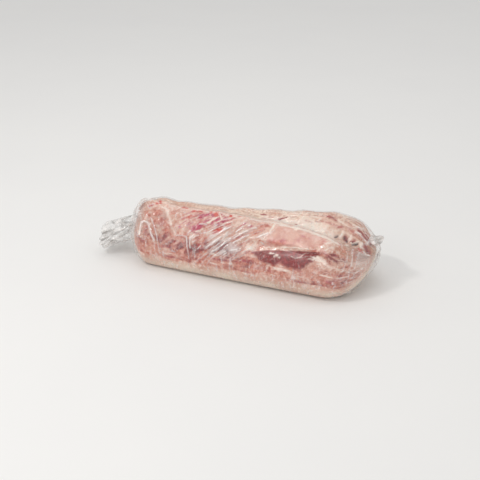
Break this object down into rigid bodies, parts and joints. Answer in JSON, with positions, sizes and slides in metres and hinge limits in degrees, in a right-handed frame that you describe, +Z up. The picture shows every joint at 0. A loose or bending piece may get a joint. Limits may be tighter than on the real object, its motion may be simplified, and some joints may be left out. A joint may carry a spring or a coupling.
{
  "type": "bone-in pork rib loin",
  "caption": "Bone-in pork rib loin in a clear film bag, lying on its fat side, with the bag's mouth gathered at one end and folded at the other.",
  "frame": {"origin": "on the rest face, under the middle of the meat's length, a little behind the chine ridge", "axes": "+X along the loin from the gathered mouth of the bag to its folded end, +Y away from the rib side, +Z up"},
  "size_m": [0.5758, 0.202, 0.1256],
  "materials": {
    "wrapped_meat": "raw pork, pink lean with cream fat, seen through thin clear glossy film with many creases"
  },
  "bodies": {
    "root": {"bagged_loin": "wrapped_meat"}
  },
  "joints": []
}
